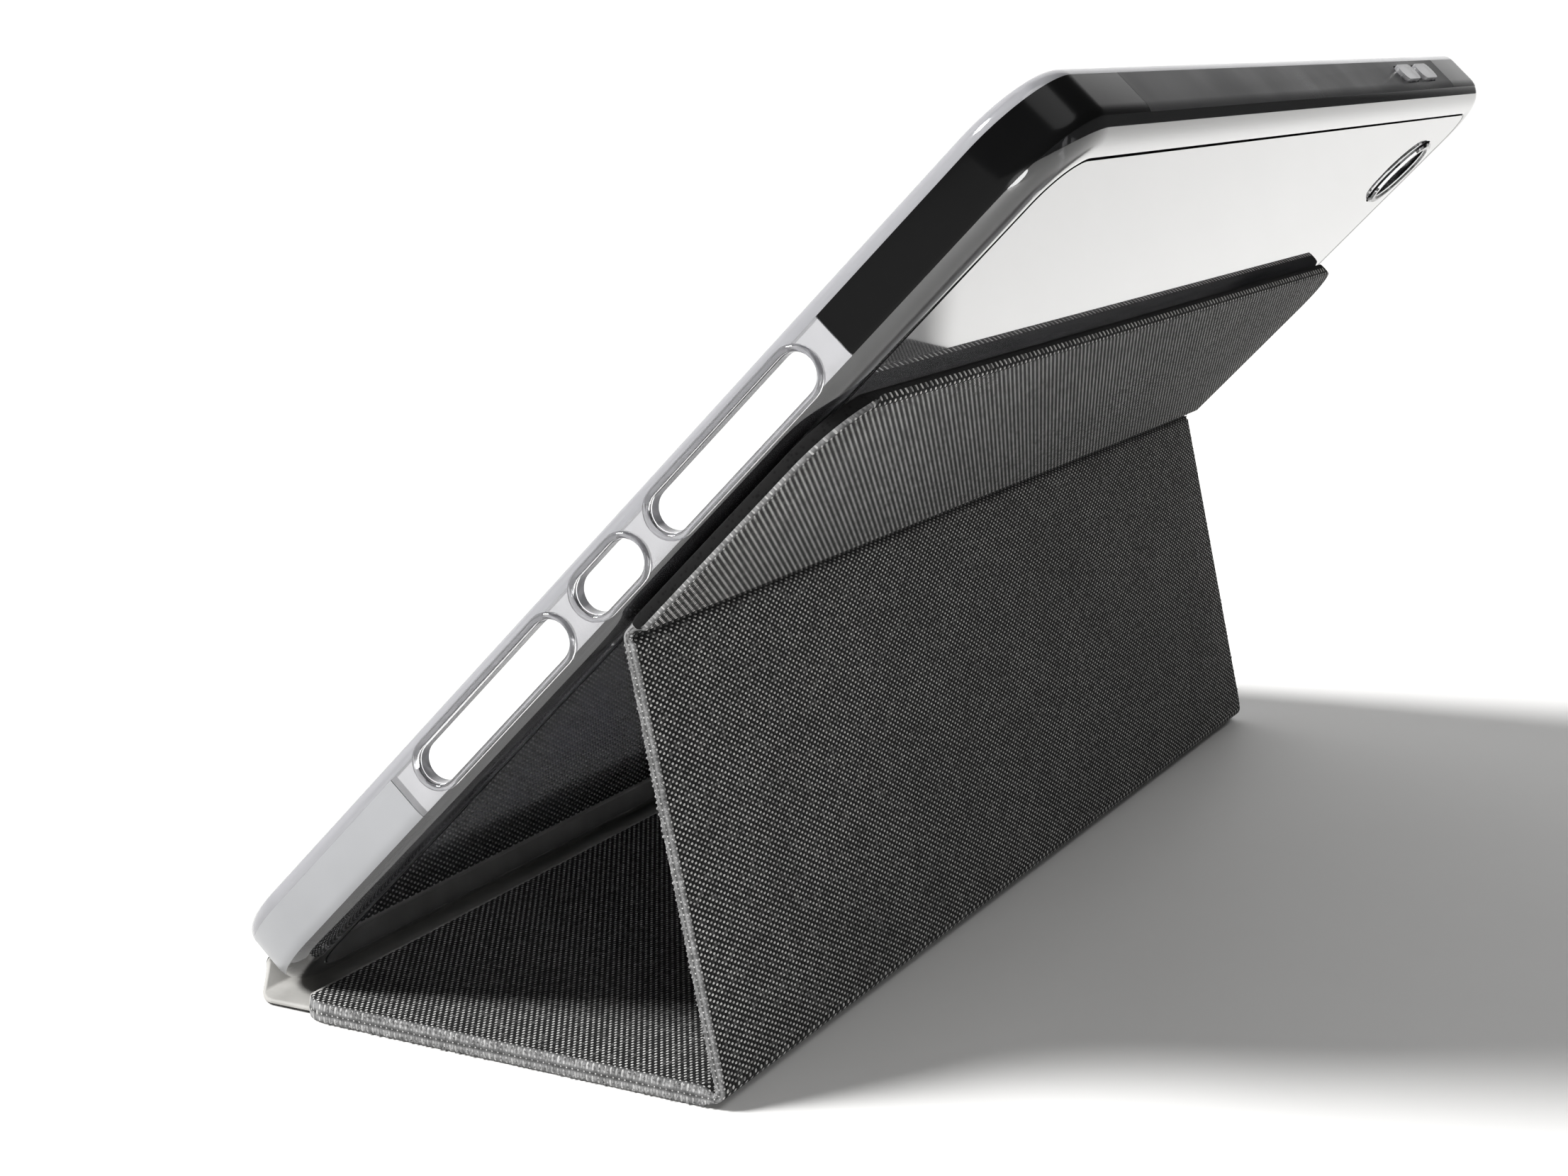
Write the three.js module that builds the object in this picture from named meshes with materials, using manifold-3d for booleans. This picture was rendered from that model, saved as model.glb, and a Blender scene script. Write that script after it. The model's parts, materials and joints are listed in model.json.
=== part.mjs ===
// Folio case for a ten-inch class tablet. A clear shell with cushioned corners holds the tablet, and
// a woven cover folds behind it: spine, base, rear leaf and dock leaf make a triangular stand.
// Millimetres, +Z up. X runs along the long side, the screen side faces -Y, the port end is at +X.

import * as THREE from 'three';
import { mergeVertices } from 'three/addons/utils/BufferGeometryUtils.js';
import Module from 'manifold-3d';

const wasm = await Module();
wasm.setup();

// ---------------------------------------------------------------- driving dimensions

const TABLET = { length: 250.6, width: 174.1, thickness: 7.5, cornerRadius: 10.3 };
const PLAY = 0.2; // clearance between the tablet and each bay wall
const GAP = 0.3; // clearance between neighbouring pieces
const PLY_GAP = 0.2; // clearance between the glued plies of a leaf

const WALL = 2.8; // bumper wall
const FLOOR = 2.4; // back plate
const LIP = 1.8; // front lip over the screen bezel
const LIP_REACH = 2.2; // how far the lip reaches in from the bay wall
const FLANGE_REACH = 3.0; // how far the bumper reaches in under the tablet
const BACK_ROUND = 4.0; // outer radius towards the back
const FRONT_ROUND = 2.4; // outer radius towards the front
const CUSHION_LEG_SHORT = 42.5; // corner cushion length along the short side
const CUSHION_LEG_LONG = 32; // corner cushion length along the long side

const TILT = THREE.MathUtils.degToRad(49.3); // shell leaning back from the table
const SHELL_FOOT_HEIGHT = -0.2; // height of the shell's lower back edge, before it is rounded
const COVER_LENGTH = 259; // cover along X

const SPINE_PIVOT_DROP = 1.3; // spine pivot below the shell's lower side
const SPINE_PIVOT_DEPTH = 4.6; // spine pivot in front of the shell's back face
const SPINE_WIDTH = 8.6; // from the spine pivot straight to the base pivot
const SPINE_MID_HEIGHT = 0.55; // middle of the spine sheet where it lies on the table
const SPINE_BEND = 1.2; // radius of the bend that takes the sheet under the shell's edge
const BASE_PIVOT_HEIGHT = 0.6;
const BASE_WIDTH = 70.9;
const REAR_WIDTH = 65.2;
const DOCK_WIDTH = 46.0;
const DOCK_GAP = 0.4; // dock leaf to shell back

const SPINE_PLIES = [0.4, 0.3]; // lower cloth, upper skin
const BASE_PLIES = [0.8, 1.2, 0.8]; // inner face, board, outer face
const REAR_PLIES = [0.4, 0.5, 0.4];
const DOCK_PLIES = [0.6, 0.8, 0.8];

const PORT_SLOT = { length: 12.6, height: 6.0, centre: 0 };
const SPEAKER_SLOT = { length: 32.4, height: 6.0, centre: 26.6 };
const SLOT_RIM = 1.1; // width of the step round each slot
const SLOT_RIM_DEPTH = 0.8;
const JACK_RADIUS = 3.2;
const JACK_OFFSET = -32; // along the far short side, towards the spine
const BUTTON = { height: 3.6, proud: 0.7, travel: 0.4, seat: 0.1 };
const POWER_PAD = { length: 13, offset: 26 }; // along the far short side
const VOLUME_PAD = { length: 11, offsets: [-80, -66] }; // along the upper long side
const CAMERA = { radius: 6.5, inset: 18, rimWidth: 1.6, rimHeight: 0.8 };
const MAGNET = { length: 18, width: 7, count: 4, spacing: 58 };
const ANCHOR = { from: 5.0, to: 8.6, depth: 0.7 }; // strip that holds the spine in the lower rail

// ---------------------------------------------------------------- worked-out dimensions

const BAY_X = TABLET.length / 2 + PLAY;
const BAY_Y = TABLET.width / 2 + PLAY;
const BAY_RADIUS = TABLET.cornerRadius + PLAY;
const SHELL_THICKNESS = FLOOR + TABLET.thickness + LIP;
const SHELL_HALF_X = BAY_X + WALL;
const SHELL_HALF_Y = BAY_Y + WALL;
const TABLET_MID = FLOOR + TABLET.thickness / 2;

const plyStack = (plies) => plies.reduce((sum, ply) => sum + ply, 0) + PLY_GAP * (plies.length - 1);
const onSlope = (along, normal) => ({
  y: along * Math.cos(TILT) - normal * Math.sin(TILT),
  z: along * Math.sin(TILT) + normal * Math.cos(TILT),
});

// Pivots in the plane of the stand's side view. The shell's lower back edge is at y = 0.
const spineOffset = onSlope(-SPINE_PIVOT_DROP, SPINE_PIVOT_DEPTH);
const spinePivot = { y: spineOffset.y, z: SHELL_FOOT_HEIGHT + spineOffset.z };
const spineDrop = spinePivot.z - BASE_PIVOT_HEIGHT;
const basePivot = { y: spinePivot.y + Math.sqrt(SPINE_WIDTH ** 2 - spineDrop ** 2), z: BASE_PIVOT_HEIGHT };
const rearPivot = { y: basePivot.y + BASE_WIDTH, z: plyStack(BASE_PLIES) / 2 };
const dockPivot = dockPivotOnShell();
const rearAngle = Math.atan2(dockPivot.z - rearPivot.z, dockPivot.y - rearPivot.y);

// The dock pivot is where an arc of the rear leaf's width meets the mid plane of the dock leaf.
function dockPivotOnShell() {
  const plane = onSlope(0, -(DOCK_GAP + plyStack(DOCK_PLIES) / 2));
  const from = { y: plane.y, z: SHELL_FOOT_HEIGHT + plane.z };
  const dy = from.y - rearPivot.y;
  const dz = from.z - rearPivot.z;
  const half = dy * Math.cos(TILT) + dz * Math.sin(TILT);
  const along = -half + Math.sqrt(half ** 2 - (dy ** 2 + dz ** 2 - REAR_WIDTH ** 2));
  return { y: from.y + along * Math.cos(TILT), z: from.z + along * Math.sin(TILT) };
}

// ---------------------------------------------------------------- materials

function material(color, roughness, extra = {}) {
  return new THREE.MeshStandardMaterial({ color, roughness, metalness: 0, ...extra });
}

const materials = {
  clearPlastic: () => material(0xdfe3e6, 0.08, { transparent: true, opacity: 0.35 }),
  clearRubber: () => material(0xcfd2d6, 0.2, { transparent: true, opacity: 0.55 }),
  smokedRubber: () => material(0x4c4e53, 0.18),
  weave: () => material(0x3f3f42, 0.9),
  suede: () => material(0x141416, 0.95),
  paleSkin: () => material(0xb9b8b6, 0.7),
  board: () => material(0x6d675e, 0.9),
  magnet: () => material(0x9a9ca0, 0.3, { metalness: 1 }),
};

// ---------------------------------------------------------------- solids

function toSolid(geometry) {
  const bare = geometry.clone();
  bare.deleteAttribute('normal');
  bare.deleteAttribute('uv');
  const merged = mergeVertices(bare, 1e-5);
  const vertProperties = new Float32Array(merged.attributes.position.array);
  const triVerts = new Uint32Array(merged.index.array);
  return new wasm.Manifold(new wasm.Mesh({ numProp: 3, vertProperties, triVerts }));
}

function toGeometry(solid) {
  const mesh = solid.getMesh();
  const geometry = new THREE.BufferGeometry();
  geometry.setAttribute('position', new THREE.BufferAttribute(new Float32Array(mesh.vertProperties), 3));
  geometry.setIndex(new THREE.BufferAttribute(new Uint32Array(mesh.triVerts), 1));
  geometry.computeVertexNormals();
  return geometry;
}

function cut(geometry, cutters) {
  const solid = cutters.reduce((left, cutter) => left.subtract(toSolid(cutter)), toSolid(geometry));
  return toGeometry(solid);
}

function extrude(shape, depth, curveSegments = 8) {
  return new THREE.ExtrudeGeometry(shape, { depth, bevelEnabled: false, curveSegments });
}

// A rectangle centred on x = 0, from y0 to y1, with its own corner radius at each of those edges.
function leafShape(length, y0, y1, r0, r1) {
  const half = length / 2;
  const shape = new THREE.Shape();
  shape.moveTo(-half + r0, y0);
  shape.lineTo(half - r0, y0);
  shape.absarc(half - r0, y0 + r0, r0, -Math.PI / 2, 0);
  shape.lineTo(half, y1 - r1);
  shape.absarc(half - r1, y1 - r1, r1, 0, Math.PI / 2);
  shape.lineTo(-half + r1, y1);
  shape.absarc(-half + r1, y1 - r1, r1, Math.PI / 2, Math.PI);
  shape.lineTo(-half, y0 + r0);
  shape.absarc(-half + r0, y0 + r0, r0, Math.PI, Math.PI * 1.5);
  return shape;
}

function stadiumShape(length, height) {
  const radius = height / 2;
  const reach = length / 2 - radius;
  const shape = new THREE.Shape();
  shape.moveTo(-reach, -radius);
  shape.lineTo(reach, -radius);
  shape.absarc(reach, 0, radius, -Math.PI / 2, Math.PI / 2);
  shape.lineTo(-reach, radius);
  shape.absarc(-reach, 0, radius, Math.PI / 2, Math.PI * 1.5);
  return shape;
}

function circleHole(x, y, radius) {
  const hole = new THREE.Path();
  hole.absarc(x, y, radius, 0, Math.PI * 2, true);
  return hole;
}

// Sweeps a closed outline of [outward, height] points through stations { x, y, angle }, where angle
// is the direction that outward points in and the stations run anticlockwise round the shell.
function sweep(outline, stations) {
  const count = outline.length;
  const positions = [];
  for (const { x, y, angle } of stations) {
    for (const [outward, height] of outline) {
      positions.push(x + outward * Math.cos(angle), y + outward * Math.sin(angle), height);
    }
  }
  const index = [];
  for (let ring = 0; ring < stations.length - 1; ring++) {
    for (let i = 0; i < count; i++) {
      const a = ring * count + i;
      const b = ring * count + ((i + 1) % count);
      index.push(a, a + count, b, b, a + count, b + count);
    }
  }
  const contour = outline.map(([outward, height]) => new THREE.Vector2(outward, height));
  const last = (stations.length - 1) * count;
  for (const [a, b, c] of THREE.ShapeUtils.triangulateShape(contour, [])) {
    index.push(a, b, c, last + a, last + c, last + b);
  }
  const geometry = new THREE.BufferGeometry();
  geometry.setAttribute('position', new THREE.Float32BufferAttribute(positions, 3));
  geometry.setIndex(index);
  geometry.computeVertexNormals();
  return geometry;
}

// ---------------------------------------------------------------- bumper

// Section through the bumper, outward from the bay wall and up from the back face.
function bumperOutline() {
  const points = [[-FLANGE_REACH, 0]];
  arcPoints(points, WALL - BACK_ROUND, BACK_ROUND, BACK_ROUND, -90, 0, 6);
  arcPoints(points, WALL - FRONT_ROUND, SHELL_THICKNESS - FRONT_ROUND, FRONT_ROUND, 0, 90, 4);
  points.push([-LIP_REACH, SHELL_THICKNESS]);
  points.push([-LIP_REACH, SHELL_THICKNESS - LIP]);
  points.push([0, SHELL_THICKNESS - LIP]);
  points.push([0, FLOOR]);
  points.push([-FLANGE_REACH, FLOOR]);
  return points;
}

function arcPoints(points, x, y, radius, fromDegrees, toDegrees, steps) {
  for (let i = 0; i <= steps; i++) {
    const angle = THREE.MathUtils.degToRad(fromDegrees + ((toDegrees - fromDegrees) * i) / steps);
    points.push([x + radius * Math.cos(angle), y + radius * Math.sin(angle)]);
  }
}

// Sides and corners are numbered anticlockwise from the port end: side 0 faces +X, side 1 faces +Y.
const sideAngle = (side) => (side * Math.PI) / 2;
const isShortSide = (side) => side % 2 === 0;
const cushionLeg = (side) => (isShortSide(side) ? CUSHION_LEG_SHORT : CUSHION_LEG_LONG) - WALL - BAY_RADIUS;

function cornerCentre(corner) {
  const signX = corner === 0 || corner === 3 ? 1 : -1;
  const signY = corner < 2 ? 1 : -1;
  return { x: signX * (BAY_X - BAY_RADIUS), y: signY * (BAY_Y - BAY_RADIUS) };
}

function wallStation(centre, angle, ahead) {
  return {
    x: centre.x + BAY_RADIUS * Math.cos(angle) - ahead * Math.sin(angle),
    y: centre.y + BAY_RADIUS * Math.sin(angle) + ahead * Math.cos(angle),
    angle,
  };
}

function cornerStations(corner) {
  const centre = cornerCentre(corner);
  const first = sideAngle(corner);
  const steps = 10;
  const stations = [wallStation(centre, first, -cushionLeg(corner))];
  for (let i = 0; i <= steps; i++) {
    stations.push(wallStation(centre, first + (i / steps) * (Math.PI / 2), 0));
  }
  stations.push(wallStation(centre, sideAngle(corner + 1), cushionLeg(corner + 1)));
  return stations;
}

function railStations(side) {
  const angle = sideAngle(side);
  const reach = cushionLeg(side) + GAP;
  return [
    wallStation(cornerCentre((side + 3) % 4), angle, reach),
    wallStation(cornerCentre(side), angle, -reach),
  ];
}

// Turns a shape so that its x runs up the shell's short side and its depth runs along +X.
function acrossShortSide(geometry, x, y, z) {
  const turn = new THREE.Matrix4().makeBasis(
    new THREE.Vector3(0, 1, 0), new THREE.Vector3(0, 0, 1), new THREE.Vector3(1, 0, 0));
  return geometry.applyMatrix4(turn).translate(x, y, z);
}

// Turns a shape so that its x runs along X and its depth runs along -Y, into the upper side.
function acrossLongSide(geometry, x, y, z) {
  const turn = new THREE.Matrix4().makeBasis(
    new THREE.Vector3(1, 0, 0), new THREE.Vector3(0, 0, 1), new THREE.Vector3(0, -1, 0));
  return geometry.applyMatrix4(turn).translate(x, y, z);
}

function slotCutters({ length, height, centre }) {
  const through = extrude(stadiumShape(length, height), WALL * 3);
  const rim = extrude(stadiumShape(length + 2 * SLOT_RIM, height + 2 * SLOT_RIM), WALL);
  return [
    acrossShortSide(through, BAY_X - WALL, centre, TABLET_MID),
    acrossShortSide(rim, SHELL_HALF_X - SLOT_RIM_DEPTH, centre, TABLET_MID),
  ];
}

function padHole(length) {
  return extrude(stadiumShape(length + 2 * GAP, BUTTON.height + 2 * GAP), WALL * 3);
}

function portRail() {
  const mirrored = { ...SPEAKER_SLOT, centre: -SPEAKER_SLOT.centre };
  const cutters = [PORT_SLOT, SPEAKER_SLOT, mirrored].flatMap(slotCutters);
  return cut(sweep(bumperOutline(), railStations(0)), cutters);
}

function farRail() {
  const x = -SHELL_HALF_X - WALL;
  const power = acrossShortSide(padHole(POWER_PAD.length), x, POWER_PAD.offset, TABLET_MID);
  const jackShape = new THREE.Shape().absarc(0, 0, JACK_RADIUS, 0, Math.PI * 2);
  const jack = acrossShortSide(extrude(jackShape, WALL * 3), x, JACK_OFFSET, TABLET_MID);
  return cut(sweep(bumperOutline(), railStations(2)), [power, jack]);
}

function upperRail() {
  const y = SHELL_HALF_Y + WALL;
  const holes = VOLUME_PAD.offsets.map((x) => acrossLongSide(padHole(VOLUME_PAD.length), x, y, TABLET_MID));
  return cut(sweep(bumperOutline(), railStations(1)), holes);
}

function lowerRail() {
  const height = ANCHOR.to - ANCHOR.from + 2 * GAP;
  const groove = new THREE.BoxGeometry(SHELL_HALF_X * 2, ANCHOR.depth + GAP, height);
  groove.translate(0, -SHELL_HALF_Y + (ANCHOR.depth + GAP) / 2, (ANCHOR.from + ANCHOR.to) / 2);
  return cut(sweep(bumperOutline(), railStations(3)), [groove]);
}

function anchorStrip() {
  const length = 2 * (SHELL_HALF_X - CUSHION_LEG_LONG - 2 * GAP);
  const strip = new THREE.BoxGeometry(length, ANCHOR.depth, ANCHOR.to - ANCHOR.from);
  return strip.translate(0, -SHELL_HALF_Y + ANCHOR.depth / 2, (ANCHOR.from + ANCHOR.to) / 2);
}

// ---------------------------------------------------------------- back plate and small pieces

const cameraPlace = { x: -(TABLET.length / 2 - CAMERA.inset), y: TABLET.width / 2 - CAMERA.inset };

function backPlate() {
  const inset = FLANGE_REACH + GAP;
  const halfY = BAY_Y - inset;
  const radius = BAY_RADIUS - inset;
  const shape = leafShape(2 * (BAY_X - inset), -halfY, halfY, radius, radius);
  const holeRadius = CAMERA.radius + CAMERA.rimWidth + GAP;
  shape.holes.push(circleHole(cameraPlace.x, cameraPlace.y, holeRadius));
  return extrude(shape, FLOOR, 12);
}

function cameraRim() {
  const inner = CAMERA.radius;
  const outer = CAMERA.radius + CAMERA.rimWidth;
  const chamfer = CAMERA.rimHeight / 2;
  const profile = [
    [inner, -CAMERA.rimHeight + chamfer], [inner + chamfer, -CAMERA.rimHeight],
    [outer - chamfer, -CAMERA.rimHeight], [outer, -CAMERA.rimHeight + chamfer],
    [outer, FLOOR], [inner, FLOOR], [inner, -CAMERA.rimHeight + chamfer],
  ];
  const points = profile.map(([radius, height]) => new THREE.Vector2(radius, height));
  return new THREE.LatheGeometry(points, 32).rotateX(Math.PI / 2).translate(cameraPlace.x, cameraPlace.y, 0);
}

function buttonPad(length) {
  const depth = WALL + BUTTON.proud - BUTTON.travel - BUTTON.seat;
  return extrude(stadiumShape(length, BUTTON.height), depth);
}

function powerPad() {
  const x = -SHELL_HALF_X - BUTTON.proud;
  return acrossShortSide(buttonPad(POWER_PAD.length), x, POWER_PAD.offset, TABLET_MID);
}

function volumePad(x) {
  return acrossLongSide(buttonPad(VOLUME_PAD.length), x, SHELL_HALF_Y + BUTTON.proud, TABLET_MID);
}

// ---------------------------------------------------------------- leaves of the cover

// A ply runs from the leaf's own pivot along +Y. Ply 0 is the face that lies on the table or looks
// away from the shell, and the last ply is the face towards the shell's back.
function plySpan({ plies, pivotHeight }, number) {
  const below = plies.slice(0, number).reduce((sum, ply) => sum + ply + PLY_GAP, 0);
  return { from: below - pivotHeight, depth: plies[number] };
}

function ply(leaf, number) {
  const { from, depth } = plySpan(leaf, number);
  const shape = leafShape(COVER_LENGTH, leaf.start, leaf.end, leaf.startRadius, leaf.endRadius);
  return extrude(shape, depth).translate(0, 0, from);
}

// A leaf's board stops short of the woven faces all round, where they are turned over its edge.
function boardPly(leaf) {
  const { from, depth } = plySpan(leaf, 1);
  const margin = 1.2;
  const radius = Math.max(leaf.endRadius - margin, 0.5);
  const shape = leafShape(COVER_LENGTH - 2 * margin, leaf.start + margin, leaf.end - margin, radius, radius);
  return extrude(shape, depth).translate(0, 0, from);
}

function leaf(plies, pivotHeight, start, end, startRadius, endRadius) {
  return { plies, pivotHeight, start, end, startRadius, endRadius };
}

const leaves = {
  base: leaf(BASE_PLIES, BASE_PIVOT_HEIGHT, 2.0, BASE_WIDTH - 2.2, 5, 0.6),
  rear: leaf(REAR_PLIES, plyStack(REAR_PLIES) / 2, 2.3, REAR_WIDTH - 2.2, 0.6, 1.5),
  dock: leaf(DOCK_PLIES, plyStack(DOCK_PLIES) / 2, 2.4, DOCK_WIDTH, 1.5, 6),
};

// Section of one spine ply in the side view, measured from the spine pivot. It comes down past the
// shell's lower edge, bends, and lies flat to the base pivot. "from" and "to" are heights over its middle.
function spineSection(from, to) {
  const dive = TILT - Math.PI / 2;
  const clear = 0.8; // kept free round each pivot for the fold rolls
  const flatZ = SPINE_MID_HEIGHT - spinePivot.z;
  const bendStart = -flatZ / Math.cos(TILT) - SPINE_BEND * Math.tan(-dive / 2);
  const centre = {
    y: bendStart * Math.cos(dive) - SPINE_BEND * Math.sin(dive),
    z: flatZ + SPINE_BEND,
  };
  const end = basePivot.y - spinePivot.y - clear;
  const side = (height) => {
    const radius = SPINE_BEND - height;
    const points = [new THREE.Vector2(
      clear * Math.cos(dive) - height * Math.sin(dive), clear * Math.sin(dive) + height * Math.cos(dive))];
    const steps = 6;
    for (let i = 0; i <= steps; i++) {
      const angle = dive * (1 - i / steps) - Math.PI / 2;
      points.push(new THREE.Vector2(centre.y + radius * Math.cos(angle), centre.z + radius * Math.sin(angle)));
    }
    points.push(new THREE.Vector2(end, flatZ + height));
    return points;
  };
  return new THREE.Shape([...side(from), ...side(to).reverse()]);
}

function spinePly(number) {
  const below = SPINE_PLIES.slice(0, number).reduce((sum, ply) => sum + ply + PLY_GAP, 0);
  const from = below - plyStack(SPINE_PLIES) / 2;
  const section = spineSection(from, from + SPINE_PLIES[number]);
  return acrossShortSide(extrude(section, COVER_LENGTH), -COVER_LENGTH / 2, 0, 0);
}

const magnetPlaces = Array.from({ length: MAGNET.count }, (unused, i) =>
  (i - (MAGNET.count - 1) / 2) * MAGNET.spacing);
const magnetY = DOCK_WIDTH * 0.72;

function dockBoard() {
  const pockets = magnetPlaces.map((x) =>
    new THREE.BoxGeometry(MAGNET.length + 2 * GAP, MAGNET.width + 2 * GAP, FLOOR).translate(x, magnetY, 0));
  return cut(boardPly(leaves.dock), pockets);
}

function magnetBar(x) {
  const { from, depth } = plySpan(leaves.dock, 1);
  return new THREE.BoxGeometry(MAGNET.length, MAGNET.width, depth).translate(x, magnetY, from + depth / 2);
}

// The cloth rolled along a fold line, round the pivot itself so that it turns in place.
function foldRoll(radius) {
  return new THREE.CylinderGeometry(radius, radius, COVER_LENGTH - 2, 14).rotateZ(Math.PI / 2);
}

// ---------------------------------------------------------------- assembly

function mesh(name, geometry, meshMaterial) {
  const piece = new THREE.Mesh(geometry, meshMaterial);
  piece.name = name;
  return piece;
}

function bodyGroup(pivot, angle, pieces) {
  const body = new THREE.Group();
  body.position.set(0, pivot.y, pivot.z);
  body.rotation.x = angle;
  body.add(...pieces);
  return body;
}

function shellPieces() {
  const pieces = [
    mesh('back_plate', backPlate(), materials.clearPlastic()),
    mesh('port_side_rail', portRail(), materials.clearRubber()),
    mesh('upper_rail', upperRail(), materials.clearRubber()),
    mesh('far_side_rail', farRail(), materials.clearRubber()),
    mesh('spine_side_rail', lowerRail(), materials.clearRubber()),
    mesh('spine_anchor_strip', anchorStrip(), materials.paleSkin()),
    mesh('camera_rim', cameraRim(), materials.clearRubber()),
    mesh('power_button_pad', powerPad(), materials.clearRubber()),
    mesh('volume_up_pad', volumePad(VOLUME_PAD.offsets[0]), materials.clearRubber()),
    mesh('volume_down_pad', volumePad(VOLUME_PAD.offsets[1]), materials.clearRubber()),
  ];
  const cornerNames = ['port_upper', 'far_upper', 'far_lower', 'port_lower'];
  cornerNames.forEach((name, corner) => {
    const cushion = sweep(bumperOutline(), cornerStations(corner));
    pieces.push(mesh(`corner_cushion_${name}`, cushion, materials.smokedRubber()));
  });
  return pieces;
}

function shellGroup() {
  const middle = onSlope(SHELL_HALF_Y, 0);
  return bodyGroup({ y: middle.y, z: SHELL_FOOT_HEIGHT + middle.z }, TILT, shellPieces());
}

function spineGroup() {
  return bodyGroup(spinePivot, 0, [
    mesh('spine_lower_cloth', spinePly(0), materials.weave()),
    mesh('spine_upper_skin', spinePly(1), materials.paleSkin()),
    mesh('spine_fold_roll', foldRoll(0.5), materials.paleSkin()),
  ]);
}

function baseGroup() {
  return bodyGroup(basePivot, 0, [
    mesh('base_inner_cloth', ply(leaves.base, 0), materials.weave()),
    mesh('base_board', boardPly(leaves.base), materials.board()),
    mesh('base_outer_cloth', ply(leaves.base, 2), materials.weave()),
    mesh('base_fold_roll', foldRoll(0.45), materials.weave()),
  ]);
}

function rearGroup() {
  return bodyGroup(rearPivot, rearAngle, [
    mesh('rear_inner_cloth', ply(leaves.rear, 0), materials.weave()),
    mesh('rear_board', boardPly(leaves.rear), materials.board()),
    mesh('rear_outer_cloth', ply(leaves.rear, 2), materials.weave()),
    mesh('rear_fold_roll', foldRoll(1.3), materials.weave()),
  ]);
}

function dockGroup() {
  const magnets = magnetPlaces.map((x, i) => mesh(`dock_magnet_${i + 1}`, magnetBar(x), materials.magnet()));
  return bodyGroup(dockPivot, TILT, [
    mesh('dock_inner_cloth', ply(leaves.dock, 0), materials.weave()),
    mesh('dock_board', dockBoard(), materials.board()),
    mesh('dock_suede_backing', ply(leaves.dock, 2), materials.suede()),
    mesh('dock_fold_roll', foldRoll(1.0), materials.weave()),
    ...magnets,
  ]);
}

const stand = new THREE.Group();
stand.add(shellGroup(), spineGroup(), baseGroup(), rearGroup(), dockGroup());

// The origin is at the middle of the whole object's box, on the table.
const box = new THREE.Box3().setFromObject(stand, true);
stand.position.x = -(box.min.x + box.max.x) / 2;
stand.position.y = -(box.min.y + box.max.y) / 2;

const group = new THREE.Group();
group.add(stand);

export default group;
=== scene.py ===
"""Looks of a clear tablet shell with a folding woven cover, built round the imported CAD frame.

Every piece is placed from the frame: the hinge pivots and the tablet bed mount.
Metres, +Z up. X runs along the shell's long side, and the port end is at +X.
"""

import json
import math
import random

import bmesh
import bpy
from mathutils import Matrix, Vector


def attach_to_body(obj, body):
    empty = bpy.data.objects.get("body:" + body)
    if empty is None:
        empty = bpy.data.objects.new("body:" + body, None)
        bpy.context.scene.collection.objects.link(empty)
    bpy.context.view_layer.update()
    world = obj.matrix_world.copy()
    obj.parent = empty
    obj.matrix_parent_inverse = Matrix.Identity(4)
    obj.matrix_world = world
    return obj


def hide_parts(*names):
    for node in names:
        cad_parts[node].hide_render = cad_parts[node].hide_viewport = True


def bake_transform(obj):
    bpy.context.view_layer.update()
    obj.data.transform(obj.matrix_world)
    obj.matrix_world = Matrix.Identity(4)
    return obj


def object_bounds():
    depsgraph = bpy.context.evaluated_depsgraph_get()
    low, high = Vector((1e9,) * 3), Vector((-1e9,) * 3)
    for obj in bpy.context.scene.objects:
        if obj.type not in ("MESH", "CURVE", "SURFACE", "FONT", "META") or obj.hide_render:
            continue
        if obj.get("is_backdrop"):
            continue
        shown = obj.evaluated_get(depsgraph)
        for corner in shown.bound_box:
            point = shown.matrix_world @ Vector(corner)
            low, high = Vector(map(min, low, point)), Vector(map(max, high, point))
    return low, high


MM = 0.001

# ------------------------------------------------------------------ sizes, in millimetres

TABLET_LENGTH = 250.6
TABLET_WIDTH = 174.1
TABLET_THICKNESS = 7.5
TABLET_CORNER = 10.3
PLAY = 0.2
WALL = 2.8
FLOOR = 2.4
LIP = 1.8
LIP_REACH = 2.2
FLANGE_REACH = 3.0
BACK_ROUND = 4.0
FRONT_ROUND = 2.4
EDGE_ROUND = 0.35
JOINT_GAP = 0.15
CUSHION_LEG_SHORT = 42.5
CUSHION_LEG_LONG = 32.0
SLOT_RIM = 1.1
RIM_STEP = 0.8
BACK_EDGE = FLOOR + 0.01
LIP_START = 9.4
PORT_SLOT = {"length": 12.6, "height": 6.0, "centre": 0.0}
SPEAKER_SLOT = {"length": 32.4, "height": 6.0, "centre": 26.6}
JACK = {"radius": 3.2, "offset": -32.0}
BUTTON_HEIGHT = 3.6
BUTTON_CLEARANCE = 0.3
POWER_PAD = {"length": 13.0, "offset": 26.0}
VOLUME_PAD = {"length": 11.0, "offsets": (-80.0, -66.0)}

BAY_X = TABLET_LENGTH / 2 + PLAY
BAY_Y = TABLET_WIDTH / 2 + PLAY
BAY_RADIUS = TABLET_CORNER + PLAY
SHELL_THICKNESS = FLOOR + TABLET_THICKNESS + LIP
HALF_X = BAY_X + WALL
HALF_Y = BAY_Y + WALL
TABLET_MID = FLOOR + TABLET_THICKNESS / 2

COVER_HALF = 129.5
BASE_HALF = 1.6
REAR_HALF = 0.85
DOCK_HALF = 1.3
FOLD_HALF = 0.72
CREASE_HALF = 0.5
CREASE_SHIFT = 0.4
SPINE_HALF = 0.45
BASE_START = 2.0
DOCK_WIDTH = 46.0
SPINE_MID = 0.55
SPINE_TAPER = 9.0
THINNEST = 0.05
SPINE_ROOT = 1.9
BINDING = 1.1
BASE_CORNER = 5.0
DOCK_CORNER = 12.0
WARP_PITCH = 0.92
WEFT_PITCH = 0.46
YARN_END_PITCH = 0.78

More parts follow.
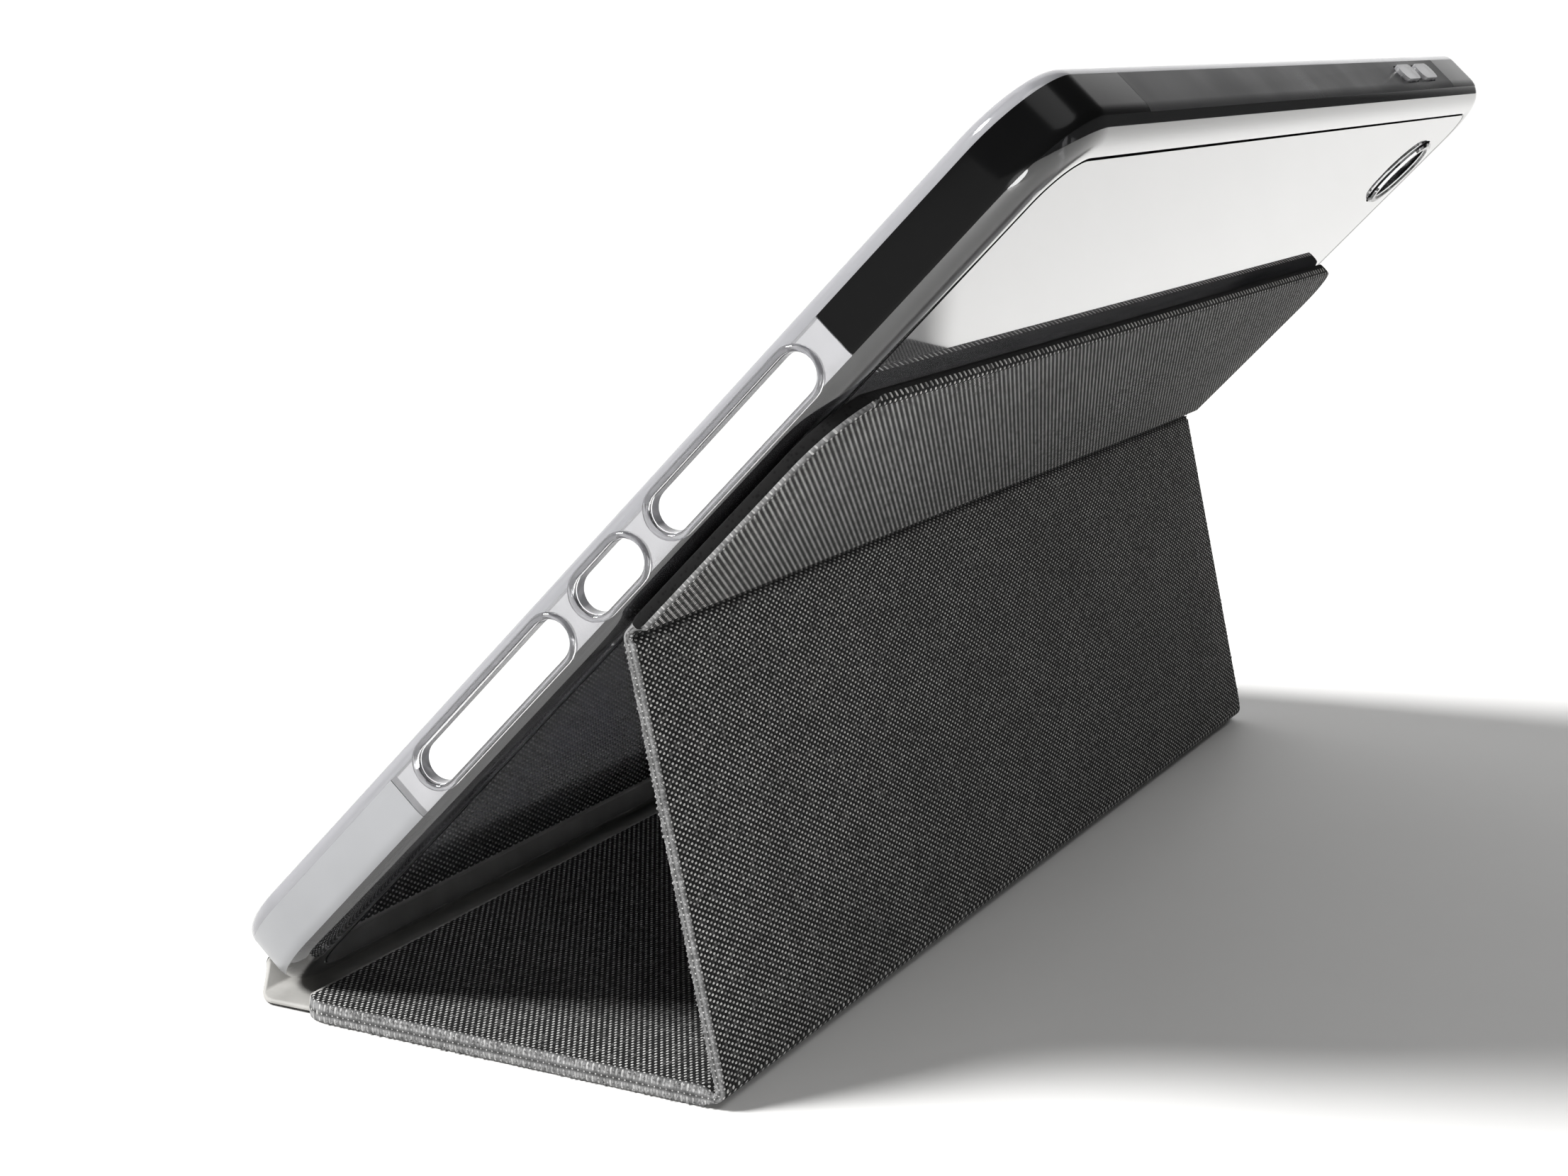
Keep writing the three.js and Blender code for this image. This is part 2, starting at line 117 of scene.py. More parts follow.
# ------------------------------------------------------------------ shares and light levels

FLOAT_RISE = 0.45
YARN_ROUNDNESS = 0.6
SUEDE_FROM = -0.35
SKIN_FROM = -0.2

BRIGHT_SIDE = (-0.6, -0.8, 0.0)
FADE_START = 0.42
FADE_END = 0.68
WORLD_DARK = 0.035
WORLD_BRIGHT = 1.08

# ------------------------------------------------------------------ the frame

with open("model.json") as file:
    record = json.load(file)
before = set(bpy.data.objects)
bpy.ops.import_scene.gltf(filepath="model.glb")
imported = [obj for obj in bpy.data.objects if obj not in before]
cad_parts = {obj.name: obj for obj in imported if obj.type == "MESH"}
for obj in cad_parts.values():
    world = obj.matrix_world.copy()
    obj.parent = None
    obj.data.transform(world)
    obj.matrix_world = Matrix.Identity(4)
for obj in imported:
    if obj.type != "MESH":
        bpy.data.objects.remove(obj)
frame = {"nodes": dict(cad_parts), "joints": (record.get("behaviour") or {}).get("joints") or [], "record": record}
cad_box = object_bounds()
NODES = frame["nodes"]
JOINTS = {joint["name"]: joint for joint in frame["joints"]}
BED = next(mount for mount in frame["record"]["mounts"] if mount["name"] == "tablet_bed")

NORMAL = Vector(BED["axis"]).normalized()
SLOPE = Vector((0, NORMAL.z, -NORMAL.y))
SHELL_ORIGIN = Vector(BED["pos_m"]) - NORMAL * FLOOR * MM
TILT = math.atan2(SLOPE.z, SLOPE.y)


def pivot(joint):
    """A hinge's place in the side view, as (y, z) in millimetres."""
    place = JOINTS[joint]["pos_m"]
    return Vector((place[1] / MM, place[2] / MM))


def on_shell(x, along, height):
    """A point from the middle of the shell's back face, in the row frame, in metres."""
    return SHELL_ORIGIN + Vector((x, 0, 0)) * MM + SLOPE * along * MM + NORMAL * height * MM


# ------------------------------------------------------------------ node materials


class Shader:
    """A node material with short calls for the nodes that the recipes below use."""

    def __init__(self, name):
        self.material = bpy.data.materials.new(name)
        self.material.use_nodes = True
        self.tree = self.material.node_tree
        self.tree.nodes.clear()
        self.output = self.node("ShaderNodeOutputMaterial")
        self.bsdf = self.node("ShaderNodeBsdfPrincipled")
        self.link(self.bsdf.outputs[0], self.output.inputs[0])

    def node(self, kind, **settings):
        made = self.tree.nodes.new(kind)
        for key, value in settings.items():
            setattr(made, key, value)
        return made

    def link(self, source, target):
        self.tree.links.new(source, target)

    def feed(self, socket, value):
        if isinstance(value, bpy.types.NodeSocket):
            self.link(value, socket)
        else:
            socket.default_value = value

    def set(self, **values):
        for key, value in values.items():
            self.feed(self.bsdf.inputs[key.replace("_", " ")], value)
        return self

    def math(self, operation, *values):
        made = self.node("ShaderNodeMath", operation=operation)
        for index, value in enumerate(values):
            self.feed(made.inputs[index], value)
        return made.outputs[0]

    def mix(self, factor, a, b):
        made = self.node("ShaderNodeMix", data_type="RGBA")
        self.feed(made.inputs[0], factor)
        self.feed(made.inputs[6], a)
        self.feed(made.inputs[7], b)
        return made.outputs[2]

    def blend_values(self, factor, a, b):
        made = self.node("ShaderNodeMix", data_type="FLOAT")
        self.feed(made.inputs[0], factor)
        self.feed(made.inputs[2], a)
        self.feed(made.inputs[3], b)
        return made.outputs[0]

    def ramp(self, value, low, high, start=0.0, end=1.0):
        made = self.node("ShaderNodeMapRange", interpolation_type="SMOOTHSTEP")
        for index, item in enumerate((value, low, high, start, end)):
            self.feed(made.inputs[index], item)
        return made.outputs[0]

    def object_point(self):
        return self.node("ShaderNodeTexCoord").outputs["Object"]

    def noise(self, scale, detail=3.0, roughness=0.5, vector=None):
        made = self.node("ShaderNodeTexNoise")
        made.inputs["Scale"].default_value = scale
        made.inputs["Detail"].default_value = detail
        made.inputs["Roughness"].default_value = roughness
        self.link(vector or self.object_point(), made.inputs["Vector"])
        return made.outputs[0]

    def attribute(self, name):
        return self.node("ShaderNodeAttribute", attribute_name=name).outputs["Fac"]

    def bump(self, height, strength, distance):
        made = self.node("ShaderNodeBump")
        made.inputs["Strength"].default_value = strength
        made.inputs["Distance"].default_value = distance
        self.link(height, made.inputs["Height"])
        self.link(made.outputs[0], self.bsdf.inputs["Normal"])


def grey(value, tint=0.0):
    return (value, value * (1 - tint * 0.3), value * (1 - tint), 1)


def woven_material(name, dark, light):
    """Plain weave: light weft floats over dark warp, with slubs, turned edges and pale yarn ends, plus painted
    shade in the yarn valleys and along the dock fold's crease.
    """
    s = Shader(name)
    uv = s.node("ShaderNodeSeparateXYZ")
    s.link(s.node("ShaderNodeUVMap", uv_map="weave").outputs[0], uv.inputs[0])
    across = s.math("DIVIDE", uv.outputs[0], WARP_PITCH * MM)
    along = s.math("DIVIDE", uv.outputs[1], WEFT_PITCH * MM)
    in_x, in_y = s.math("FRACT", across), s.math("FRACT", along)
    cell_x, cell_y = s.math("FLOOR", across), s.math("FLOOR", along)
    weft_up = s.math("PINGPONG", s.math("ADD", cell_x, cell_y), 1.0)

    def hump(value):
        return s.math("SINE", s.math("MULTIPLY", value, math.pi))

    def float_height(along_yarn, across_yarn):
        crown = s.math("MULTIPLY_ADD", along_yarn, FLOAT_RISE, 1 - FLOAT_RISE)
        return s.math("MULTIPLY", s.math("POWER", across_yarn, YARN_ROUNDNESS), crown)

    hump_x, hump_y = hump(in_x), hump(in_y)
    warp, weft = float_height(hump_y, hump_x), float_height(hump_x, hump_y)
    height = s.blend_values(weft_up, warp, weft)

    cell = s.node("ShaderNodeCombineXYZ")
    s.feed(cell.inputs[0], cell_x)
    s.feed(cell.inputs[1], cell_y)
    speckle = s.node("ShaderNodeTexWhiteNoise")
    s.link(cell.outputs[0], speckle.inputs["Vector"])
    slub = s.noise(900, 2)
    patch = s.noise(60, 3)
    tone = s.math("ADD", s.math("MULTIPLY", speckle.outputs[0], 0.55), s.math("MULTIPLY", slub, 0.45))
    dot = s.ramp(s.math("MULTIPLY", hump_x, hump_y), 0.3, 0.6)
    ply = s.math("SINE", s.math("MULTIPLY", s.math("ADD", across, along), 2 * math.pi * 1.6))
    twist = s.ramp(ply, -1.0, 0.4, 0.55, 1.0)
    weft_tone = s.math("MULTIPLY", s.math("MULTIPLY", dot, twist), s.ramp(tone, 0.1, 0.6, 0.4, 1.0))
    warp_tone = s.ramp(tone, 0.55, 0.95, 0.0, 0.12)
    lightness = s.blend_values(weft_up, warp_tone, weft_tone)
    colour = s.mix(lightness, dark, light)
    # Painted shade: the weave's low valleys between yarns are darkened by the yarn height.
    valley_shade = s.ramp(height, 0.12, 0.55, 0.25, 1.0)
    # Painted shade along the dock fold's crease, from the crease attribute; it is multiplied with a random patchy
    # tone that is the cloth's own.
    crease_shade = s.ramp(s.attribute("crease"), 0.2, 1.0, 1.0, 0.25)
    patch_tone_and_crease_shade = s.math("MULTIPLY", s.ramp(patch, 0.2, 0.8, 0.86, 1.1), crease_shade)
    shade = s.math("MULTIPLY", valley_shade, patch_tone_and_crease_shade)
    shaded = s.node("ShaderNodeVectorMath", operation="SCALE")
    s.link(colour, shaded.inputs[0])
    s.feed(shaded.inputs["Scale"], shade)
    edge = s.attribute("pale_edge")
    s.set(Base_Color=s.mix(edge, shaded.outputs[0], s.mix(slub, grey(0.06), grey(0.6))))
    s.set(Roughness=0.92, Sheen_Weight=0.04, Sheen_Roughness=0.5, Specular_IOR_Level=0.25)
    s.bump(height, 0.75, 0.16 * MM)
    return s.material


def suede_material():
    """Black microfibre with a nap and a fine dotted grain."""
    s = Shader("black_microfibre")
    dots = s.node("ShaderNodeTexVoronoi", feature="F1")
    dots.inputs["Scale"].default_value = 1500
    s.link(s.object_point(), dots.inputs["Vector"])
    nap = s.noise(140, 5, 0.6)
    tone = s.math("ADD", s.ramp(dots.outputs[0], 0.1, 0.6), s.math("MULTIPLY", nap, 0.6))
    s.set(Base_Color=s.mix(tone, grey(0.002), grey(0.009)), Roughness=0.95, Sheen_Weight=0.04)
    s.set(Specular_IOR_Level=0.08)
    s.bump(tone, 0.4, 0.06 * MM)
    return s.material


def skin_material():
    """Thin pale skin of the spine, with a fine leather-like grain and a mottled tone."""
    s = Shader("pale_spine_skin")
    grain = s.node("ShaderNodeTexVoronoi", feature="DISTANCE_TO_EDGE")
    grain.inputs["Scale"].default_value = 1100
    s.link(s.object_point(), grain.inputs["Vector"])
    mottle = s.noise(220, 4)
    s.set(Base_Color=s.mix(mottle, grey(0.3, 0.08), grey(0.48, 0.06)))
    s.set(Roughness=s.ramp(mottle, 0, 1, 0.55, 0.75))
    s.bump(grain.outputs[0], 0.3, 0.05 * MM)
    return s.material


def clear_material(name, tint, roughness, haze=0.0, wave=0.02, coat=0.0):
    """Moulded clear plastic: refracting, faintly wavy, with polishing haze."""
    s = Shader(name)
    cloud = s.noise(40, 4)
    fine = s.noise(600, 2)
    s.set(Base_Color=tint, Transmission_Weight=1.0 - haze, IOR=1.47)
    s.set(Roughness=s.ramp(cloud, 0.2, 0.8, roughness * 0.6, roughness * 1.5))
    s.set(Coat_Weight=coat, Coat_Roughness=0.02, Coat_IOR=1.6)
    s.bump(s.math("ADD", cloud, s.math("MULTIPLY", fine, 0.15)), wave, 0.4 * MM)
    return s.material


def cushion_material(name, low, high, roughness, see_through, coat, shine=0.5):
    """Smoked rubber cushion, moulded with a soft orange-peel skin and faint flow marks."""
    s = Shader(name)
    flow = s.noise(35, 4, 0.55)
    peel = s.noise(1300, 2)
    s.set(Base_Color=s.mix(flow, grey(low, -0.04), grey(high, -0.05)))
    s.set(Transmission_Weight=see_through, IOR=1.45)
    s.set(Roughness=s.ramp(flow, 0.2, 0.8, roughness * 0.8, roughness * 1.25), Coat_Weight=coat)
    s.set(Coat_Roughness=0.06, Specular_IOR_Level=shine)
    s.bump(s.math("ADD", s.math("MULTIPLY", peel, 0.1), flow), 0.08, 0.3 * MM)
    return s.material


def floor_material():
    s = Shader("pale_table")
    grain = s.noise(30, 4)
    s.set(Base_Color=s.mix(grain, grey(0.86, 0.02), grey(0.89, 0.02)), Roughness=0.6)
    return s.material


WOVEN = woven_material("charcoal_weave", grey(0.004), grey(0.68, 0.03))
SUEDE = suede_material()
SKIN = skin_material()
CLEAR_WALL = clear_material("clear_moulded_wall", (0.6, 0.6, 0.62, 1), 0.12, haze=0.3, wave=0.1)
# The lip's grey tint, darker than the wall's clear rubber, is painted shade that outlines its edge against the
# white backdrop.
SHADE_TINTED_LIP = clear_material("milky_clear_lip", (0.42, 0.42, 0.44, 1), 0.12, haze=0.55, wave=0.05)
# The back edge's near-black tint is painted shade: the dark band of shadow and dark reflection along the shell's
# back rim.
SHADE_TINTED_EDGE = clear_material("clear_back_edge", (0.1, 0.1, 0.105, 1), 0.06, haze=0.1, wave=0.02, coat=1.0)
CLEAR_RIM = clear_material("polished_slot_rim", (0.97, 0.97, 0.98, 1), 0.02)
# The back plate's dark grey tint is painted shade: it stands in for the dark, shaded tunnel under the shell.
SHADE_TINTED_PLATE = clear_material("clear_back_plate", (0.11, 0.11, 0.115, 1), 0.03, haze=0.08, wave=0.002,
                             coat=1.0)
CUSHION_GREY = cushion_material("frosted_smoke_cushion", 0.3, 0.42, 0.34, 0.1, 0.1)
CUSHION_BLACK = cushion_material("glossy_smoke_cushion", 0.002, 0.006, 0.16, 0.0, 0.02, 0.12)
SMOKED_RAIL = cushion_material("smoked_clear_rail", 0.02, 0.05, 0.3, 0.0, 0.0, 0.1)

# ------------------------------------------------------------------ meshes


def new_object(name, mesh, materials, sharp_degrees=38):
    mesh.name = name
    for material in materials:
        mesh.materials.append(material)
    mesh.shade_smooth()
    mesh.set_sharp_from_angle(angle=math.radians(sharp_degrees))
    made = bpy.data.objects.new(name, mesh)
    bpy.context.scene.collection.objects.link(made)
    return made


def arc(centre, radius, start, end, steps):
    """Points of an arc, angles in degrees."""
    points = []
    for i in range(steps + 1):
        angle = math.radians(start + (end - start) * i / steps)
        points.append((centre[0] + radius * math.cos(angle), centre[1] + radius * math.sin(angle)))
    return points


def bumper_profile():
    """Section through the bumper, outward from the bay wall and up from the back face."""
    inner_top = SHELL_THICKNESS - LIP
    points = arc((-FLANGE_REACH + EDGE_ROUND, EDGE_ROUND), EDGE_ROUND, 180, 270, 3)
    points += arc((WALL - BACK_ROUND, BACK_ROUND), BACK_ROUND, -90, 0, 14)
    points += arc((WALL - FRONT_ROUND, SHELL_THICKNESS - FRONT_ROUND), FRONT_ROUND, 0, 90, 12)
    points += arc((-LIP_REACH + 0.6, SHELL_THICKNESS - 0.6), 0.6, 90, 180, 5)
    points += arc((-LIP_REACH + EDGE_ROUND, inner_top + EDGE_ROUND), EDGE_ROUND, 180, 270, 3)
    points += arc((-0.5, inner_top - 0.5), 0.5, 90, 0, 4)
    points += arc((-0.5, FLOOR + 0.5), 0.5, 0, -90, 4)
    points += [(-FLANGE_REACH, FLOOR)]
    return points


def band(low, high):
    """The part of the bumper section between two heights."""
    profile = bumper_profile()
    for level, way in ((low, 1), (high, -1)):
        kept = []
        for (x0, h0), (x1, h1) in zip(profile, profile[1:] + profile[:1]):
            inside, next_inside = (h0 - level) * way >= 0, (h1 - level) * way >= 0
            if inside:
                kept.append((x0, h0))
            if inside != next_inside:
                kept.append((x0 + (x1 - x0) * (level - h0) / (h1 - h0), level))
        profile = kept
    return profile


def sweep_mesh(profile, stations, closed=False):
    """A closed solid: the profile of (outward, height) swept through (x, along, angle) stations."""
    bm = bmesh.new()
    rings = []
    for x, along, angle in stations:
        ring = []
        for outward, height in profile:
            place = on_shell(x + outward * math.cos(angle), along + outward * math.sin(angle), height)
            ring.append(bm.verts.new(place))
        rings.append(ring)
    count = len(profile)
    for first, second in zip(rings, rings[1:] + (rings[:1] if closed else [])):
        for i in range(count):
            j = (i + 1) % count
            bm.faces.new((first[i], second[i], second[j], first[j]))
    if not closed:
        for ring in (rings[0], rings[-1]):
            bm.faces.new(ring)
    bmesh.ops.recalc_face_normals(bm, faces=bm.faces)
    mesh = bpy.data.meshes.new("sweep")
    bm.to_mesh(mesh)
    bm.free()
    return mesh


MIDDLE_BAND = band(BACK_EDGE, LIP_START)


def side_angle(side):
    return side * math.pi / 2


def leg(side):
    """Straight part of a cushion along a side: even sides are short, odd sides are long."""
    return (CUSHION_LEG_LONG if side % 2 else CUSHION_LEG_SHORT) - WALL - BAY_RADIUS


def corner_centre(corner):
    sign_x = 1 if corner in (0, 3) else -1
    sign_y = 1 if corner < 2 else -1
    return sign_x * (BAY_X - BAY_RADIUS), sign_y * (BAY_Y - BAY_RADIUS)


def wall_station(centre, angle, ahead):
    x = centre[0] + BAY_RADIUS * math.cos(angle) - ahead * math.sin(angle)
    along = centre[1] + BAY_RADIUS * math.sin(angle) + ahead * math.cos(angle)
    return x, along, angle


def cushion_stations(corner, steps=24):
    centre = corner_centre(corner)
    first = side_angle(corner)
    stations = [wall_station(centre, first, -leg(corner))]
    stations += [wall_station(centre, first + math.pi / 2 * i / steps, 0) for i in range(steps + 1)]
    stations.append(wall_station(centre, side_angle(corner + 1), leg(corner + 1)))
    return stations


def rim_stations(steps=20):
    """Stations all the way round the shell."""
    return [
        wall_station(corner_centre(corner), side_angle(corner) + math.pi / 2 * i / steps, 0)
        for corner in range(4) for i in range(steps + 1)
    ]


def rail_stations(side):
    angle = side_angle(side)
    reach = leg(side) + JOINT_GAP
    before = corner_centre((side + 3) % 4)
    return [wall_station(before, angle, reach), wall_station(corner_centre(side), angle, -reach)]


def stadium(length, height, steps=14):
    """Points round a slot, anticlockwise, as (along, up) from its middle."""
    radius = height / 2
    reach = length / 2 - radius
    return arc((reach, 0), radius, -90, 90, steps) + arc((-reach, 0), radius, 90, 270, steps)


def prism(points, place, start, end):
    """A closed prism: each (u, v) point placed by place(u, v, depth) at both depths."""
    bm = bmesh.new()
    near = [bm.verts.new(place(u, v, start)) for u, v in points]
    far = [bm.verts.new(place(u, v, end)) for u, v in points]
    for i in range(len(points)):
        j = (i + 1) % len(points)
        bm.faces.new((near[i], near[j], far[j], far[i]))
    bm.faces.new(near)
    bm.faces.new(far)
    bmesh.ops.recalc_face_normals(bm, faces=bm.faces)
    mesh = bpy.data.meshes.new("prism")
    bm.to_mesh(mesh)
    bm.free()
    return mesh


def cut(piece, cutter_meshes):
    """Takes the cutters out of a piece and keeps the result as its mesh."""
    cutters = []
    for mesh in cutter_meshes:
        cutter = bpy.data.objects.new("cutter", mesh)
        bpy.context.scene.collection.objects.link(cutter)
        modifier = piece.modifiers.new("cut", "BOOLEAN")
        modifier.solver = "EXACT"
        modifier.object = cutter
        cutters.append(cutter)
    graph = bpy.context.evaluated_depsgraph_get()
    result = bpy.data.meshes.new_from_object(piece.evaluated_get(graph))
    piece.modifiers.clear()
    piece.data = result
    result.set_sharp_from_angle(angle=math.radians(38))
    for cutter in cutters:
        bpy.data.objects.remove(cutter)


def side_wall_place(centre):
    """Places slot points on the port-side wall: u runs up the slope, v up from the back face."""
    return lambda u, v, depth: on_shell(depth, centre + u, TABLET_MID + v)


def upper_wall_place(centre):
    """Places button points on the upper wall: u runs along the shell, v up from the back face."""
    return lambda u, v, depth: on_shell(centre + u, depth, TABLET_MID + v)


def ring_mesh(outline, section, place):
    """A ring: a closed section of (outward, depth) points swept round a slot outline."""
    bm = bmesh.new()
    rings = []
    count = len(outline)
    for i, (u, v) in enumerate(outline):
        before, after = outline[i - 1], outline[(i + 1) % count]
        tangent = Vector((after[0] - before[0], after[1] - before[1])).normalized()
        outward = Vector((tangent.y, -tangent.x))
        rings.append([
            bm.verts.new(place(u + outward.x * out, v + outward.y * out, depth)) for out, depth in section
        ])
    size = len(section)
    for i in range(count):
        first, second = rings[i], rings[(i + 1) % count]
        for j in range(size):
            k = (j + 1) % size
            bm.faces.new((first[j], first[k], second[k], second[j]))
    bmesh.ops.recalc_face_normals(bm, faces=bm.faces)
    mesh = bpy.data.meshes.new("ring")
    bm.to_mesh(mesh)
    bm.free()
    return mesh


# ------------------------------------------------------------------ the shell


def shell_piece(name, mesh, material, slot, *replaced):
    piece = new_object(name, mesh, [material])
    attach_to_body(piece, "shell")
    if replaced:
        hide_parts(*replaced)
    return piece


PORT_SIDE_SLOTS = (PORT_SLOT, SPEAKER_SLOT, dict(SPEAKER_SLOT, centre=-SPEAKER_SLOT["centre"]))


def port_side_cutters():
    """Through slots of the port side, each with a wider step for its raised rim."""
    cutters = []
    for opening in PORT_SIDE_SLOTS:
        place = side_wall_place(opening["centre"])
        through = stadium(opening["length"], opening["height"])
        rim = stadium(opening["length"] + 2 * SLOT_RIM, opening["height"] + 2 * SLOT_RIM)
        cutters.append(prism(through, place, BAY_X - WALL, HALF_X + WALL))
        cutters.append(prism(rim, place, HALF_X - RIM_STEP, HALF_X + WALL))
    return cutters


def build_port_wall():
    wall = shell_piece("port_wall", sweep_mesh(MIDDLE_BAND, rail_stations(0)), CLEAR_WALL,
                       "clear_rubber", "port_side_rail")
    lip_band = band(LIP_START, SHELL_THICKNESS)
    lip = shell_piece("clear_front_lip", sweep_mesh(lip_band, rim_stations(), True),
                      SHADE_TINTED_LIP, "clear_rubber")
    edge = shell_piece("clear_back_edge", sweep_mesh(band(0, BACK_EDGE), rim_stations(), True),
                       SHADE_TINTED_EDGE, "clear_rubber")
    for piece in (wall, lip, edge):
        cut(piece, port_side_cutters())
    seat = HALF_X - RIM_STEP
    section = arc((SLOT_RIM / 2 + 0.05, seat + 0.55), SLOT_RIM * 0.46, -20, 200, 10)
    section += [(0.05, seat + 0.02), (SLOT_RIM, seat + 0.02)]
    for index, opening in enumerate(PORT_SIDE_SLOTS):
        outline = stadium(opening["length"], opening["height"])
        rim = ring_mesh(outline, section, side_wall_place(opening["centre"]))
        shell_piece(f"slot_rim_{index + 1}", rim, CLEAR_RIM, "clear_rubber")


def build_rails():
    upper = shell_piece("upper_wall", sweep_mesh(MIDDLE_BAND, rail_stations(1)), SMOKED_RAIL,
                        "clear_rubber", "upper_rail")
    far = shell_piece("far_wall", sweep_mesh(MIDDLE_BAND, rail_stations(2)), CLEAR_WALL,
                      "clear_rubber", "far_side_rail")
    shell_piece("spine_side_wall", sweep_mesh(MIDDLE_BAND, rail_stations(3)), SMOKED_RAIL,
                "clear_rubber", "spine_side_rail")
    hole = 2 * BUTTON_CLEARANCE
    pads = []
    for x in VOLUME_PAD["offsets"]:
        outline = stadium(VOLUME_PAD["length"] + hole, BUTTON_HEIGHT + hole)
        pads.append(prism(outline, upper_wall_place(x), BAY_Y - WALL, HALF_Y + WALL))
    cut(upper, pads)
    power = stadium(POWER_PAD["length"] + hole, BUTTON_HEIGHT + hole)
    jack = arc((0, 0), JACK["radius"], 0, 345, 23)
    far_cutters = [
        prism(power, side_wall_place(POWER_PAD["offset"]), -HALF_X - WALL, -BAY_X + WALL),
        prism(jack, side_wall_place(JACK["offset"]), -HALF_X - WALL, -BAY_X + WALL),
    ]
    cut(far, far_cutters)


def build_cushions():
    looks = {"port_upper": CUSHION_BLACK, "far_upper": CUSHION_BLACK, "far_lower": CUSHION_GREY,
             "port_lower": CUSHION_GREY}
    for corner, (place, material) in enumerate(looks.items()):
        mesh = sweep_mesh(MIDDLE_BAND, cushion_stations(corner))
        shell_piece(f"cushion_{place}", mesh, material, "smoked_rubber", f"corner_cushion_{place}")


def repaint_kept_nodes():
    """CAD nodes whose shape is right stay and get a node material."""
    looks = {"back_plate": SHADE_TINTED_PLATE, "camera_rim": CLEAR_RIM, "power_button_pad": CLEAR_WALL,
             "volume_up_pad": CLEAR_WALL, "volume_down_pad": CLEAR_WALL, "spine_anchor_strip": SKIN}
    for name, material in looks.items():
        for material_slot in NODES[name].material_slots:
            material_slot.material = material


# ------------------------------------------------------------------ the cover


def rounded_path(corners, radii, step):
    """Stations (place, heading, distance) along straight runs joined by arcs, in the side view."""
    runs = []
    start = corners[0]
    for i in range(1, len(corners)):
        corner = corners[i]
        heading = math.atan2(corner.y - start.y, corner.x - start.x)
        if i == len(corners) - 1:
            runs.append((start, corner, heading, None, 0))
            break
        after = corners[i + 1]
        turn = math.atan2(after.y - corner.y, after.x - corner.x) - heading
        turn = (turn + math.pi) % (2 * math.pi) - math.pi
        reach = radii[i - 1] * math.tan(abs(turn) / 2)
        ahead = Vector((math.cos(heading), math.sin(heading)))
        stop = corner - ahead * reach
        runs.append((start, stop, heading, radii[i - 1], turn))
        start = corner + Vector((math.cos(heading + turn), math.sin(heading + turn))) * reach
    stations = []
    distance = 0.0
    for first, last, heading, radius, turn in runs:
        length = (last - first).length
        count = max(1, round(length / step))
        for k in range(count + 1):
            stations.append((first.lerp(last, k / count), heading, distance + length * k / count))
        distance += length
        if radius is None:
            break
        side = 1 if turn > 0 else -1
        middle = last + Vector((-math.sin(heading), math.cos(heading))) * radius * side
        bends = max(6, round(abs(turn) * 10))
        for k in range(1, bends):
            angle = heading + turn * k / bends
            place = middle + Vector((math.sin(angle), -math.cos(angle))) * radius * side
            stations.append((place, angle, distance + radius * abs(turn) * k / bends))
        distance += radius * abs(turn)
    return stations


def smoothstep(value):
    value = min(max(value, 0.0), 1.0)
    return value * value * (3 - 2 * value)


